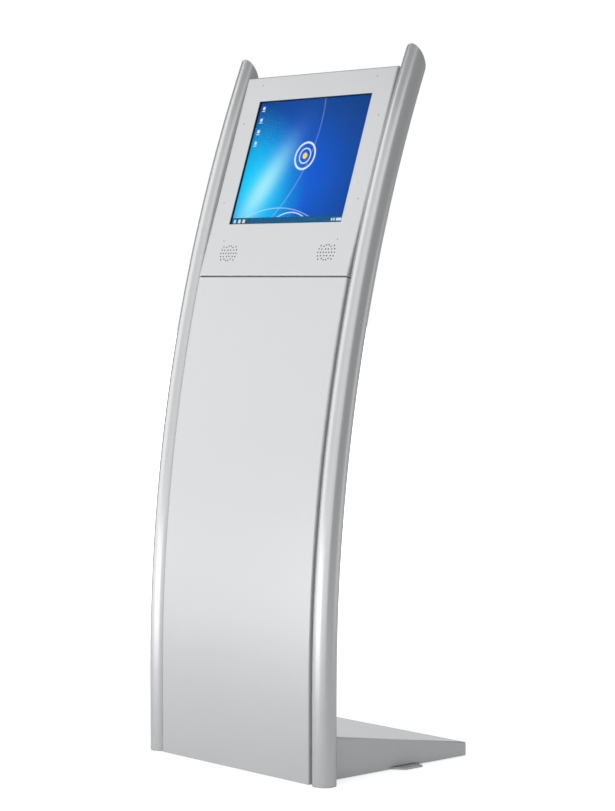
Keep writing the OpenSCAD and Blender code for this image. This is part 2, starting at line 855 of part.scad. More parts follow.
// Studs riveted through the bezel, flush with its face
module bezel_studs() {
    color(zinc) head() bezel_stud_places() rod(bezel_stud_r, 0, bezel_stud_len);
}

module bezel_nuts() {
    color(zinc) head() bezel_stud_places() difference() {
        rod(bezel_nut_r, sheet + plate, sheet + plate + bezel_nut_h, 6);
        rod(bezel_stud_r + thread_fit, 0, bezel_stud_len);
    }
}

// ---------- Display ----------

gasket_t = 0.8;
glass_t = 3;
glass_size = [356, 288];
active_size = [338.4, 270.8];
module_size = [358.5, 296.5];
glass_y = sheet + gasket_t;
display_y = glass_y + glass_t;         // front of the display module
display_frame_t = 2.2;
housing_y = display_y + display_frame_t;
housing_t = 10;
can_t = 1;
cell_gap = 0.3;                        // between the touch glass and the display's cell
bracket_y = housing_y + housing_t;     // rear face of the display module

module glass_gasket() {
    color(black) head() difference() {
        slab(glass_size[0], sheet, glass_y, glass_size[1]);
        slab(active_size[0], sheet - cut, glass_y + cut, active_size[1]);
    }
}

module touch_glass() {
    color([0.6, 0.75, 0.85, 0.35]) head() slab(glass_size[0], glass_y, display_y, glass_size[1]);
}

module display_frame() {
    color(black) head() difference() {
        slab(module_size[0], display_y, housing_y, module_size[1]);
        slab(active_size[0], display_y - cut, housing_y + cut, active_size[1]);
    }
}

// The liquid-crystal cell in the frame's window, and its light guide behind
module display_panel() {
    color(screen_blue) head() {
        slab(active_size[0], display_y + cell_gap, housing_y + can_t, active_size[1]);
        slab(module_size[0] - 2 * can_t, housing_y, bracket_y - can_t, module_size[1] - 2 * can_t);
    }
}

module display_housing() {
    color(zinc) head() difference() {
        slab(module_size[0], housing_y, bracket_y, module_size[1]);
        slab(module_size[0] - 2 * can_t, housing_y - cut, bracket_y - can_t, module_size[1] - 2 * can_t);
    }
}

// Folded bars that clamp the display to the bezel's studs
bracket_in = 20;                       // overlap behind the display
module bracket_outline(edge, reach) {
    polygon([
        [edge + reach, sheet], [edge + reach, sheet + plate], [edge + plate, sheet + plate],
        [edge + plate, bracket_y + plate], [edge - bracket_in, bracket_y + plate],
        [edge - bracket_in, bracket_y], [edge, bracket_y], [edge, sheet]
    ]);
}

side_bracket_len = 250;
side_bracket_reach = 32;
end_bracket_len = 356;
end_bracket_reach = 28;
bracket_gap = 1;                       // around the display
bracket_hole_r = 1.7;
module display_brackets() {
    side_edge = module_size[0] / 2 + bracket_gap;
    end_edge = module_size[1] / 2 + bracket_gap;
    color(zinc) head() difference() {
        union() {
            mirror_x() translate([0, 0, -side_bracket_len / 2]) linear_extrude(side_bracket_len)
                bracket_outline(side_edge, side_bracket_reach);
            for (end = [0, 1]) mirror([0, 0, end]) translate([-end_bracket_len / 2, 0, 0])
                rotate([90, 0, 90]) linear_extrude(end_bracket_len) mirror([1, -1])
                bracket_outline(end_edge, end_bracket_reach);
        }
        bezel_stud_places() rod(bracket_hole_r, sheet - cut, sheet + plate + cut);
    }
}

// ---------- Equipment in the head ----------

tray_gap = 3;
tray_y = bracket_y + plate + tray_gap;
tray_back = tray_y + plate;
tray_size = [346, 190];
tray_post = [167, 84];
tray_post_r = 5;
module computer_tray() {
    color(zinc) head() {
        slab(tray_size[0], tray_y, tray_back, tray_size[1]);
        for (x = [-1, 1], z = [-1, 1]) translate([x * tray_post[0], 0, z * tray_post[1]])
            rod(tray_post_r, bracket_y + plate, tray_y + plate / 2);
    }
}

computer_size = [170, 22, 130];
computer_x = 45;
computer_z = -12;
fin_h = 8;
fin_t = 3;
fin_pitch = 15;
fin_count = 11;
module mini_computer() {
    case_back = tray_back + computer_size[1];
    color(black) head() translate([computer_x, 0, computer_z]) {
        slab(computer_size[0], tray_back, case_back, computer_size[2]);
        for (i = [0 : fin_count - 1])
            translate([(i - (fin_count - 1) / 2) * fin_pitch, 0, 0])
            slab(fin_t, case_back - cut, case_back + fin_h, computer_size[2]);
    }
}

board_size = [90, 110];
board_t = 1.6;
board_x = -115;
board_z = 10;
standoff = 6;
standoff_r = 3;
standoff_at = [40, 50];
chip_size = [30, 30];
chip_z = 30;
board_sockets = [[-20, 28, 11], [22, 18, 9]];  // place across, width and height of each
board_socket_z = -42;
board_socket_h = 14;
module display_driver_board() {
    board_y = tray_back + standoff;
    color([0.05, 0.35, 0.15]) head() translate([board_x, 0, board_z]) {
        slab(board_size[0], board_y, board_y + board_t, board_size[1]);
        for (x = [-1, 1], z = [-1, 1]) translate([x * standoff_at[0], 0, z * standoff_at[1]])
            rod(standoff_r, tray_back, board_y + cut);
        translate([0, 0, chip_z]) slab(chip_size[0], board_y + cut, board_y + 5, chip_size[1]);
        for (p = board_sockets) translate([p[0], 0, board_socket_z])
            slab(p[1], board_y + cut, board_y + p[2], board_socket_h);
    }
}

// ---------- Speakers ----------

cloth_t = 0.5;
speaker_y = sheet + cloth_t;
speaker_flange = [70, 40];
speaker_flange_t = 2;
basket_r = [19, 13];
basket_d = 9;
cone_r = [18, 5];
magnet_r = 14;
magnet_front = speaker_y + 10;
magnet_back = speaker_y + 20;
speaker_hole_x = 30;
module speaker() {
    difference() {
        union() {
            slab(speaker_flange[0], speaker_y, speaker_y + speaker_flange_t, speaker_flange[1]);
            translate([0, speaker_y + speaker_flange_t, 0]) rotate([-90, 0, 0])
                cylinder(r1 = basket_r[0], r2 = basket_r[1], h = basket_d, $fn = round_fn);
            rod(magnet_r, magnet_front, magnet_back);
        }
        translate([0, speaker_y - seat, 0]) rotate([-90, 0, 0])
            cylinder(r1 = cone_r[0], r2 = cone_r[1], h = basket_d, $fn = round_fn);
        for (x = [-speaker_hole_x, speaker_hole_x]) translate([x, 0, 0])
            rod(screw_r, speaker_y - cut, speaker_y + speaker_flange_t + cut);
    }
}

module left_speaker() { color(black) head() translate([-speaker_x, 0, speaker_z]) speaker(); }
module right_speaker() { color(black) head() translate([speaker_x, 0, speaker_z]) speaker(); }

cloth_size = [66, 38];
module speaker_cloths() {
    color(black) head() for (x = [-speaker_x, speaker_x]) translate([x, 0, speaker_z])
        slab(cloth_size[0], sheet, speaker_y, cloth_size[1]);
}

// ---------- Fans ----------

fan_d = 15;
fan_front = rear_wall - fan_d;
hub_r = 13;
shaft_r = 1.5;
fan_fit = 0.05;
arm_w = 3;
arm_t = 2;
bearing_r = 4;
bearing_len = 10;
module fan_frame() {
    difference() {
        slab(fan_size, fan_front, rear_wall, fan_size);
        rod(fan_bore, fan_front - cut, rear_wall + cut);
        for (dx = [-1, 1], dz = [-1, 1]) translate([dx * fan_bolt / 2, 0, dz * fan_bolt / 2])
            rod(screw_r + thread_fit, fan_front - cut, rear_wall + cut);
    }
    difference() {
        union() {
            rod(hub_r, fan_front, fan_front + arm_t);
            rod(bearing_r, fan_front, fan_front + bearing_len);
            for (turn = [45 : 90 : 315]) rotate([0, turn, 0])
                translate([hub_r - cut, fan_front, -arm_w / 2])
                cube([fan_bore - hub_r + 1.5 * cut, arm_t, arm_w]);
        }
        rod(shaft_r + fan_fit, fan_front - cut, fan_front + bearing_len + cut);
    }
}

module fan_frames() {
    color(black) head() for (x = [-fan_x, fan_x]) translate([x, 0, fan_z]) fan_frame();
}

blade_count = 7;
blade_tip = 27;
blade_pitch = 38;
blade_w = 18;
blade_t = 1.2;
hub_y = fan_front + 3;
hub_end = fan_front + 13.5;
hub_wall = 1.2;
module fan_rotor() {
    difference() {
        rod(hub_r, hub_y, hub_end);
        rod(hub_r - hub_wall, hub_y - cut, hub_end - hub_wall);
    }
    rod(shaft_r, fan_front + 0.5, hub_end - hub_wall / 2);
    intersection() {
        for (i = [1 : blade_count]) rotate([0, i * 360 / blade_count, 0])
            translate([hub_r - hub_wall, (hub_y + hub_end) / 2, 0]) rotate([blade_pitch, 0, 0])
            translate([0, -blade_w / 2, -blade_t / 2]) cube([blade_tip, blade_w, blade_t]);
        difference() {
            rod(blade_tip, hub_y + 0.4, hub_end - 0.4);
            rod(hub_r - hub_wall / 2, hub_y - cut, hub_end + cut);
        }
    }
}

module left_fan_rotor() { color(black) head() translate([-fan_x, 0, fan_z]) fan_rotor(); }
module right_fan_rotor() { color(black) head() translate([fan_x, 0, fan_z]) fan_rotor(); }

// ---------- Rear door, hinges and lock ----------

door_fold = 10;
lock_x = 168;
lock_z = (door_top + door_bottom) / 2;
lock_r = 9.5;
hinge_x = -door_half - door_gap / 2;
knuckle_r = 3.5;
pin_r = 1.75;
hinge_y = head_d + knuckle_r;
hinge_zs = [-190, 45];
hinge_len = 60;
knuckle_len = 20;
knuckle_gap = 0.3;
leaf_t = 1.5;
leaf_w = 24;
leaf_back = knuckle_r + 0.4;           // a leaf's set-back beside the other's knuckle
tongue_w = leaf_back + 0.1;
pin_head_r = 2.9;
pin_head_h = 1.5;
door_vents = 14;
door_vent_rows = [-190, 35];

module rear_door() {
    color(silver_paint) head() difference() {
        door_hole(0, head_d - door_fold, head_d);
        translate([0, -sheet, 0]) door_hole(-sheet, head_d - door_fold - cut, head_d);
        translate([lock_x, 0, lock_z]) rod(lock_r, rear_wall - cut, head_d + cut);
        for (i = [0 : door_vents - 1], z = door_vent_rows)
            translate([(i - (door_vents - 1) / 2) * vent_pitch, 0, z])
            slot(vent_len, vent_r, rear_wall - cut, head_d + cut);
    }
}

module knuckle(z0, len) {
    translate([hinge_x, hinge_y, z0]) difference() {
        cylinder(r = knuckle_r, h = len, $fn = round_fn);
        translate([0, 0, -cut]) cylinder(r = pin_r + pin_fit, h = len + 2 * cut, $fn = round_fn);
    }
}

// A leaf's tongue, which joins its plate to its own knuckle
module tongue(side, z0, len) {
    translate([hinge_x, head_d, z0]) difference() {
        translate([side > 0 ? 0 : -tongue_w, 0, 0]) cube([tongue_w, leaf_t, len]);
        translate([0, knuckle_r, -cut]) cylinder(r = pin_r + pin_fit, h = len + 2 * cut, $fn = round_fn);
    }
}

module hinge_fixed_leaves() {
    side_len = knuckle_len - knuckle_gap;
    color(zinc) head() for (z = hinge_zs) translate([0, 0, z - hinge_len / 2]) {
        translate([hinge_x - leaf_w, head_d, 0]) cube([leaf_w - leaf_back, leaf_t, hinge_len]);
        for (z0 = [0, hinge_len - side_len]) {
            knuckle(z0, side_len);
            tongue(-1, z0, side_len);
        }
    }
}

module hinge_moving_leaves() {
    color(zinc) head() for (z = hinge_zs) translate([0, 0, z - hinge_len / 2]) {
        translate([hinge_x + leaf_back, head_d, 0]) cube([leaf_w - leaf_back, leaf_t, hinge_len]);
        knuckle(knuckle_len, hinge_len - 2 * knuckle_len);
        tongue(1, knuckle_len, hinge_len - 2 * knuckle_len);
    }
}

module hinge_pins() {
    color(zinc) head() for (z = hinge_zs) translate([hinge_x, hinge_y, z - hinge_len / 2]) {
        cylinder(r = pin_r, h = hinge_len, $fn = round_fn);
        for (z0 = [-pin_head_h, hinge_len]) translate([0, 0, z0])
            cylinder(r = pin_head_r, h = pin_head_h, $fn = round_fn);
    }
}

cam_y = 45.7;
cam_t = 2;
cam_gap = 0.4;                         // between the cam and the lock's body
cam_hub_r = 8;
cam_w = 13;
cam_len = 33;
plug_r = 7;
plug_fit = 0.08;
square = 6;                            // the plug's tail and the cam's hole
lock_head_r = 11.5;
lock_head_h = 2.5;
lock_nut_r = 13;
lock_nut_h = 3.5;
key_slot = [1.8, 8];
key_depth = 8;
module lock_body() {
    color([0.75, 0.76, 0.78]) head() translate([lock_x, 0, lock_z]) difference() {
        union() {
            rod(lock_r, cam_y + cam_t + cam_gap, head_d);
            rod(lock_head_r, head_d, head_d + lock_head_h);
        }
        rod(plug_r + plug_fit, cam_y, head_d + lock_head_h + cut);
    }
}

module lock_nut() {
    color(zinc) head() translate([lock_x, 0, lock_z]) difference() {
        rod(lock_nut_r, rear_wall - lock_nut_h, rear_wall, 6);
        rod(lock_r + thread_fit, rear_wall - lock_nut_h - cut, rear_wall + cut);
    }
}

module lock_plug() {
    color([0.8, 0.8, 0.82]) head() translate([lock_x, 0, lock_z]) {
        difference() {
            rod(plug_r, cam_y + cam_t, head_d + lock_head_h - 0.2);
            slab(key_slot[0], head_d - key_depth, head_d + lock_head_h + cut, key_slot[1]);
        }
        slab(square, cam_y - 1.5, cam_y + cam_t + cut, square);
    }
}

module lock_cam() {
    color(zinc) head() translate([lock_x, 0, lock_z]) difference() {
        union() {
            rod(cam_hub_r, cam_y, cam_y + cam_t);
            translate([-cam_w / 2, cam_y, -cam_len]) cube([cam_w, cam_t, cam_len]);
        }
        slab(square, cam_y - cut, cam_y + cam_t + cut, square);
    }
}

// ---------- Leads held inside the case ----------

// A smooth curve through the points: Catmull-Rom, with steps per span
function spline_point(a, b, c, d, t) = 0.5 * (
    2 * b + (c - a) * t + (2 * a - 5 * b + 4 * c - d) * t * t + (3 * b - a - 3 * c + d) * t * t * t);
function ends_doubled(p) = concat([2 * p[0] - p[1]], p, [2 * p[len(p) - 1] - p[len(p) - 2]]);
function spline(p, steps) = let (q = ends_doubled(p)) concat(
    [for (i = [0 : len(p) - 2], k = [0 : steps - 1])
        spline_point(q[i], q[i + 1], q[i + 2], q[i + 3], k / steps)],
    [p[len(p) - 1]]);
function unit(v) = v / norm(v);
function tangent(p, i) = unit(p[min(i + 1, len(p) - 1)] - p[max(i - 1, 0)]);

// A route's inner points on a smooth curve, with a straight span at each end
function lead_path(p, steps) = concat(
    [p[0]], spline([for (i = [1 : len(p) - 2]) p[i]], steps), [p[len(p) - 1]]);

// A round lead of 8 sides swept along a route; across is a direction the route never takes
module lead(route, d, across = [1, 0.13, 0.07]) {
    steps = 4;
    path = lead_path(route, steps);
    sides = 8;
    rings = len(path);
    points = [for (i = [0 : rings - 1])
        let (t = tangent(path, i), u = unit(cross(t, across)), v = cross(t, u))
        for (k = [0 : sides - 1])
            path[i] + d / 2 * (cos(k * 360 / sides) * u + sin(k * 360 / sides) * v)];
    skin = [for (i = [0 : rings - 2], k = [0 : sides - 1])
        let (a = i * sides + k, b = i * sides + (k + 1) % sides)
        [a, a + sides, b + sides, b]];
    first = [for (k = [0 : sides - 1]) k];
    last = [for (k = [sides - 1 : -1 : 0]) (rings - 1) * sides + k];
    polyhedron(points, concat(skin, [first, last]));
}

// Points given in the head's frame, or beside the power supply, as points of the body
function leaned(p, a) = [p[0], p[1] * cos(a) + p[2] * sin(a), p[2] * cos(a) - p[1] * sin(a)];
function curve_point(sweep, p) =
    [0, bend_r * (1 - cos(sweep)), straight_h + bend_r * sin(sweep)] + leaned(p, sweep);
function in_head(p) = curve_point(head_lean, p + [0, -head_offset, screen_rise]);
function in_bay(p) = curve_point(sweep_at(equipment_station), p);

// Where leads join the computer and the power supply
computer_low = computer_z - computer_size[2] / 2;
computer_side = computer_x - computer_size[0] / 2;
computer_mid = tray_back + computer_size[1] / 2;
terminal_x = supply_x - supply_size[0] / 2 + terminal_inset + terminal_size[0] / 2;
terminal_y = equipment_y + plate + supply_step[1] + terminal_size[1] / 2;
terminal_h = terminal_size[2] / 2;
lead_out = 14;                         // straight run at a lead's end

mains_route = [[inlet_x, rear_in - inlet_depth, io_z], [inlet_x, 10, io_z], [-38, 3, 144],
    [-62, 2, 190], [-88, 4, 260], [-92, 12, 360], [-91, 18, 430],
    in_bay([terminal_x, terminal_y, -terminal_h - lead_out]), in_bay([terminal_x, terminal_y, -terminal_h])];
supply_route = [in_bay([terminal_x, terminal_y, terminal_h]),
    in_bay([terminal_x, terminal_y, terminal_h + lead_out]),
    [-80, 44, 640], [-30, 66, 780], [10, 88, 900], in_head([20, 34, -262]), in_head([20, 34, -235]),
    in_head([24, 36, -150]), in_head([25, computer_mid, computer_low - lead_out]),
    in_head([25, computer_mid, computer_low])];
network_route = [[network_x, rear_in - socket_depth, io_z], [network_x, 11, io_z], [56, 6, 147],
    [110, 2, 220], [170, 8, 330], [185, 20, 440], [180, 40, 600], [120, 66, 780], [50, 90, 900],
    in_head([40, 34, -262]), in_head([40, 34, -235]), in_head([58, 36, -150]),
    in_head([65, computer_mid, computer_low - lead_out]), in_head([65, computer_mid, computer_low])];

mains_lead_d = 7;
supply_lead_d = 6;
network_lead_d = 5.5;
speaker_lead_d = 3;
display_lead_d = 4;
module mains_lead() { color(black) kiosk() lead(mains_route, mains_lead_d); }
module supply_lead() { color(black) kiosk() lead(supply_route, supply_lead_d); }
module network_lead() { color([0.3, 0.35, 0.4]) kiosk() lead(network_route, network_lead_d); }

right_speaker_route = [[speaker_x, magnet_back, speaker_z], [speaker_x, 30, speaker_z], [140, 36, -180],
    [112, 36, -130], [95, computer_mid, computer_low - lead_out], [95, computer_mid, computer_low]];
left_speaker_route = [[-speaker_x, magnet_back, speaker_z], [-speaker_x, 30, speaker_z], [-130, 37, -178],
    [-60, 40, -150], [-15, 38, -112], [-10, computer_mid, computer_low - lead_out],
    [-10, computer_mid, computer_low]];
module speaker_leads() {
    color(black) head() {
        lead(right_speaker_route, speaker_lead_d);
        lead(left_speaker_route, speaker_lead_d);
    }
}

display_route = [[computer_side, computer_mid, -50], [-50, computer_mid, -50], [-66, 36, -58],
    [-80, 36, -66], [-92, 36, -60], [-93, 36, -48], [-93, 36, -39]];
module display_lead() { color(black) head() lead(display_route, display_lead_d, [0, 1, 0]); }

left_column();
right_column();
column_end_caps();
column_foot_plugs();
column_bosses();
frame_bolts();
frame_nuts();
left_side_plate();
right_side_plate();
lower_front_panel();
front_panel_nuts();
foot_floor_plate();
foot_gussets();
foot_cover();
bottom_cross_tube();
middle_cross_member();
lower_back_cover();
cover_screws();
equipment_plate();
power_supply();
io_plate();
power_inlet();
inlet_pins();
switch_housing();
switch_rocker();
button_housing();
button_cap();
network_socket();
head_housing();
head_bezel();
bezel_studs();
bezel_nuts();
glass_gasket();
touch_glass();
display_frame();
display_panel();
display_housing();
display_brackets();
display_driver_board();
left_speaker();
right_speaker();
speaker_cloths();
computer_tray();
mini_computer();
fan_frames();
left_fan_rotor();
right_fan_rotor();
rear_door();
hinge_fixed_leaves();
hinge_moving_leaves();
hinge_pins();
lock_body();
lock_nut();
lock_plug();
lock_cam();
mains_lead();
supply_lead();
network_lead();
speaker_leads();
display_lead();
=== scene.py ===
import math

import bpy
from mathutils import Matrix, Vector


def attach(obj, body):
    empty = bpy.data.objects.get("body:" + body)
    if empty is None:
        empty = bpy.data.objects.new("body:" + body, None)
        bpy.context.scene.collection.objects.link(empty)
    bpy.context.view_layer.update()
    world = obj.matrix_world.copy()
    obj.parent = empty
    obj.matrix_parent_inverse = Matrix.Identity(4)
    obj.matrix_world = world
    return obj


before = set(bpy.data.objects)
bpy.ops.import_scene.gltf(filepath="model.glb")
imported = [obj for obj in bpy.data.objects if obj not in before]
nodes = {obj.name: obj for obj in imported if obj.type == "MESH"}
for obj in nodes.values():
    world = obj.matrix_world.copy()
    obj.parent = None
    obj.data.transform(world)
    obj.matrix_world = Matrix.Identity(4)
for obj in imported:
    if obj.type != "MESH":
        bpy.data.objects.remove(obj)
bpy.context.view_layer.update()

# ---- Driving dimensions of the head, in metres, the same as the CAD model's ----
HEAD_LEAN = math.radians(18.43)  # lean of the head's flat face from the vertical
BEND_R = 3.270  # radius of the columns' backward curve, at their axis
STRAIGHT_H = 0.174  # height of the straight foot of the columns
CENTRE_Y = 0.199625  # middle of the kiosk's depth, behind the columns' axis
HEAD_OFFSET = 0.0116  # distance of the head's face in front of the columns' axis
SCREEN_RISE = 0.014  # height of the screen's centre along the face, above the nearest column point
SCREEN_W, SCREEN_H = 0.3384, 0.2708  # the lit area
SPEAKER_X, SPEAKER_Z = 0.1485, -0.1992  # a speaker's centre from the screen's, across and up the face
GRILLE_R = 0.028  # radius that holds all holes of a speaker's grille
GRILLE_FADE = 0.002  # width over which the painted hole shade ends outside that radius

LEAN_SIN, LEAN_COS = math.sin(HEAD_LEAN), math.cos(HEAD_LEAN)
HEAD_RIGHT = (1, 0, 0)
HEAD_IN = (0, LEAN_COS, -LEAN_SIN)
HEAD_UP = (0, LEAN_SIN, LEAN_COS)


def head_point(x, y, z):
    """A point given from the screen's centre, x to the right, y into the head, z up the face."""
    depth = y - HEAD_OFFSET
    rise = z + SCREEN_RISE
    return Vector((
        x,
        BEND_R * (1 - LEAN_COS) + depth * LEAN_COS + rise * LEAN_SIN - CENTRE_Y,
        STRAIGHT_H + BEND_R * LEAN_SIN - depth * LEAN_SIN + rise * LEAN_COS,
    ))


SCREEN_CENTRE = tuple(head_point(0, 0, 0))


# ---- Material building ----
GREY = (0.33, 0.33, 0.34)  # weights that turn a random colour into one random value


def scaled(colour, factor, lift=0.0):
    """The colour made lighter or darker, held at 1."""
    return tuple(min(1, c * factor + lift) for c in colour)


class Nodes:
    """A material's node tree around one Principled shader, with short calls for the nodes used here."""

    def __init__(self, name):
        self.mat = bpy.data.materials.new(name)
        self.mat.use_nodes = True
        self.tree = self.mat.node_tree
        self.tree.nodes.clear()
        out = self.tree.nodes.new("ShaderNodeOutputMaterial")
        self.bsdf = self.tree.nodes.new("ShaderNodeBsdfPrincipled")
        self.link(self.bsdf.outputs[0], out.inputs["Surface"])
        self.coords = self.tree.nodes.new("ShaderNodeTexCoord").outputs["Object"]

    def link(self, output, socket):
        self.tree.links.new(output, socket)

    def put(self, socket, value):
        """Links the value if it is a node's output, and stores it on the socket otherwise."""
        if isinstance(value, bpy.types.NodeSocket):
            self.link(value, socket)
        else:
            socket.default_value = value

    def set(self, **values):
        """Sets the shader's own sockets, such as Base_Color or Roughness."""
        for name, value in values.items():
            self.put(self.bsdf.inputs[name.replace("_", " ")], value)

    def math(self, operation, *values):
        n = self.tree.nodes.new("ShaderNodeMath")
        n.operation = operation
        for i, value in enumerate(values):
            self.put(n.inputs[i], value)
        return n.outputs[0]

    def length(self, a, b):
        """The length of the flat vector (a, b)."""
        return self.math("SQRT", self.math("ADD", self.math("MULTIPLY", a, a), self.math("MULTIPLY", b, b)))

    def vector(self, operation, *values):
        n = self.tree.nodes.new("ShaderNodeVectorMath")
        n.operation = operation
        for i, value in enumerate(values):
            self.put(n.inputs[i], value)
        return n.outputs["Value"] if operation in ("LENGTH", "DOT_PRODUCT") else n.outputs[0]

    def along(self, axis):
        """How far the shaded point lies from the screen's centre along an axis."""
        return self.vector("DOT_PRODUCT", self.vector("SUBTRACT", self.coords, SCREEN_CENTRE), axis)

    def noise(self, scale, detail=3, rough=0.5, coords=None):
        """Smooth noise around 0.5, with about as many waves along a metre as its scale."""
        n = self.tree.nodes.new("ShaderNodeTexNoise")
        n.inputs["Scale"].default_value = scale
        n.inputs["Detail"].default_value = detail
        n.inputs["Roughness"].default_value = rough
        self.link(coords or self.coords, n.inputs["Vector"])
        return n.outputs["Fac"]

    def cells(self, scale, output="Distance"):
        """Irregular cells, about as many along a metre as their scale."""
        n = self.tree.nodes.new("ShaderNodeTexVoronoi")
        n.inputs["Scale"].default_value = scale
        self.link(self.coords, n.inputs["Vector"])
        return n.outputs[output]

    def random_cells(self, scale):
        """One random value for each cell."""
        return self.vector("DOT_PRODUCT", self.cells(scale, output="Color"), GREY)

    def stretch(self, x, y, z):
        """The coordinates with each axis scaled. A factor below 1 draws a texture out along its axis."""
        return self.vector("MULTIPLY", self.coords, (x, y, z))

    def span(self, value, a, b, c=0.0, d=1.0, smooth=False):
        """value from a..b to c..d, held at the ends."""
        n = self.tree.nodes.new("ShaderNodeMapRange")
        n.interpolation_type = "SMOOTHSTEP" if smooth else "LINEAR"
        for i, v in enumerate((value, a, b, c, d)):
            self.put(n.inputs[i], v)
        return n.outputs[0]

    def mix(self, factor, a, b):
        """Colour a where factor is 0, and colour b where it is 1."""
        n = self.tree.nodes.new("ShaderNodeMix")
        n.data_type = "RGBA"
        self.put(n.inputs[0], factor)
        for socket, colour in ((n.inputs[6], a), (n.inputs[7], b)):
            self.put(socket, (*colour, 1) if isinstance(colour, tuple) else colour)
        return n.outputs[2]

    def bump(self, height, distance, strength):
        n = self.tree.nodes.new("ShaderNodeBump")
        n.inputs["Strength"].default_value = strength
        n.inputs["Distance"].default_value = distance
        self.link(height, n.inputs["Height"])
        return n.outputs[0]


# ---- Paint, metal and plastic ----
SILVER = (0.60, 0.605, 0.61)
COLUMN_SILVER = (0.61, 0.615, 0.62)
FLAKE = (0.95, 0.95, 0.97)
# Near black: painted shade for the walls of the speaker holes
HOLE_SHADE_BLACK = (0.012, 0.012, 0.012)


def paint(name, colour, metallic=0.45, rough=0.31, shade_grille_holes=False):
    """Satin silver powder coat: fine orange peel, metal flake, a little cloudiness and handling sheen."""
    m = Nodes(name)
    cloud = m.noise(scale=2.2, detail=2)
    flake = m.random_cells(scale=1900)
    handling = m.noise(scale=5, detail=3, rough=0.6)
    orange_peel = m.noise(scale=420, detail=2)
    base = m.mix(m.span(cloud, 0.3, 0.7), scaled(colour, 0.985), scaled(colour, 1.012))
    base = m.mix(m.span(flake, 0.25, 0.75, 0.0, 0.07), base, FLAKE)
    # Painted shade: the speaker holes' walls turn near black, so that the holes read dark.
    if shade_grille_holes:
        base = m.mix(painted_hole_shade(m), base, HOLE_SHADE_BLACK)
    m.set(
        Base_Color=base,
        Metallic=metallic,
        Roughness=m.span(handling, 0.3, 0.75, rough - 0.012, rough + 0.016),
        Normal=m.bump(orange_peel, distance=0.00002, strength=0.3),
    )
    return m.mat


def painted_hole_shade(m):
    """1 on the walls of the speaker holes, where the paint turns near black as painted shade, and 0
    elsewhere.
    """
    from_speaker = m.length(
        m.math("SUBTRACT", m.math("ABSOLUTE", m.along(HEAD_RIGHT)), SPEAKER_X),
        m.math("SUBTRACT", m.along(HEAD_UP), SPEAKER_Z),
    )
    in_grille = m.span(from_speaker, GRILLE_R, GRILLE_R + GRILLE_FADE, 1, 0)
    below_face = m.span(m.along(HEAD_IN), 0.0001, 0.0004)
    return m.math("MULTIPLY", in_grille, below_face)


def zinc(name, colour, rough):
    """Plated or plain metal: overlapping pale patches, faint rolling lines and small dull spots."""
    m = Nodes(name)
    patches = m.random_cells(scale=160)
    lines = m.noise(scale=420, detail=2, coords=m.stretch(0.08, 1, 1))
    spots = m.noise(scale=38, detail=4, rough=0.65)
    base = m.mix(m.span(patches, 0.2, 0.8), scaled(colour, 0.86), scaled(colour, 1.1))
    base = m.mix(m.span(spots, 0.55, 0.75, 0, 0.35), base, scaled(colour, 0.7))
    m.set(
        Base_Color=base,
        Metallic=1.0,
        Roughness=m.span(lines, 0.3, 0.7, rough - 0.08, rough + 0.1),
        Normal=m.bump(lines, distance=0.00004, strength=0.35),
    )
    return m.mat


def plastic(name, colour, rough=0.5, grain=1800, depth=0.00005):
    """Moulded plastic with a fine spark texture, and smoother rubbed patches."""
    m = Nodes(name)
    wear = m.noise(scale=24, detail=4, rough=0.6)
    m.set(
        Base_Color=m.mix(m.span(wear, 0.35, 0.7), colour, scaled(colour, 1.35, lift=0.006)),
        Roughness=m.span(wear, 0.3, 0.7, rough + 0.06, rough - 0.08),
        Normal=m.bump(m.cells(grain), depth, strength=0.5),
    )
    return m.mat


# ---- The screen: glass in front of a lit picture ----
def clear_glass(name):
    """Touch glass with faint smears. Its low IOR leaves the picture behind it in place."""
    m = Nodes(name)
    smears = m.noise(scale=14, detail=4, rough=0.6)
    m.set(
        Base_Color=(0.93, 0.96, 0.97, 1),
        Roughness=m.span(smears, 0.4, 0.8, 0.02, 0.07),
        IOR=1.06,
        Transmission_Weight=1.0,
    )
    return m.mat


class Picture(Nodes):
    """Shapes drawn on the screen, where u and v run from -1 to 1 across and up the lit area."""

    ASPECT = 0.8  # the lit area's height over its width

    def __init__(self, name):
        super().__init__(name)
        self.u = self.math("DIVIDE", self.along(HEAD_RIGHT), SCREEN_W / 2)
        self.v = self.math("DIVIDE", self.along(HEAD_UP), SCREEN_H / 2)

    def from_point(self, u, v):
        return self.math("SUBTRACT", self.u, u), self.math("SUBTRACT", self.v, v)

    def glow(self, u, v, half_u, half_v, turn=0.0):
        """An oval glow, 1 at its centre and 1/e at half_u and half_v, turned anticlockwise."""
        c, s = math.cos(turn), math.sin(turn)
        du, dv = self.from_point(u, v)
        a = self.math("ADD", self.math("MULTIPLY", du, c), self.math("MULTIPLY", dv, s))
        b = self.math("SUBTRACT", self.math("MULTIPLY", dv, c), self.math("MULTIPLY", du, s))
        a = self.math("DIVIDE", a, half_u)
        b = self.math("DIVIDE", b, half_v)
        squared = self.math("ADD", self.math("MULTIPLY", a, a), self.math("MULTIPLY", b, b))
        return self.math("POWER", 2.718, self.math("MULTIPLY", squared, -1.0))

    def distance(self, u, v):
        """Distance from a point, as a part of the lit area's half width."""
        du, dv = self.from_point(u, v)
        return self.length(du, self.math("MULTIPLY", dv, self.ASPECT))

    def ring(self, u, v, radius, width, strength):
        """A circle's outline that fades out over its width to both sides."""
        off = self.math("ABSOLUTE", self.math("SUBTRACT", self.distance(u, v), radius))
        return self.span(off, 0.0, width, strength, 0.0, smooth=True)

    def tile(self, u, v, half_u, half_v, soft):
        """A filled rectangle, whose edges fade from soft inside its outline to soft outside it."""
        du, dv = self.from_point(u, v)
        inside_u = self.span(self.math("ABSOLUTE", du), half_u - soft, half_u + soft, 1.0, 0.0)
        inside_v = self.span(self.math("ABSOLUTE", dv), half_v - soft, half_v + soft, 1.0, 0.0)
        return self.math("MULTIPLY", inside_u, inside_v)


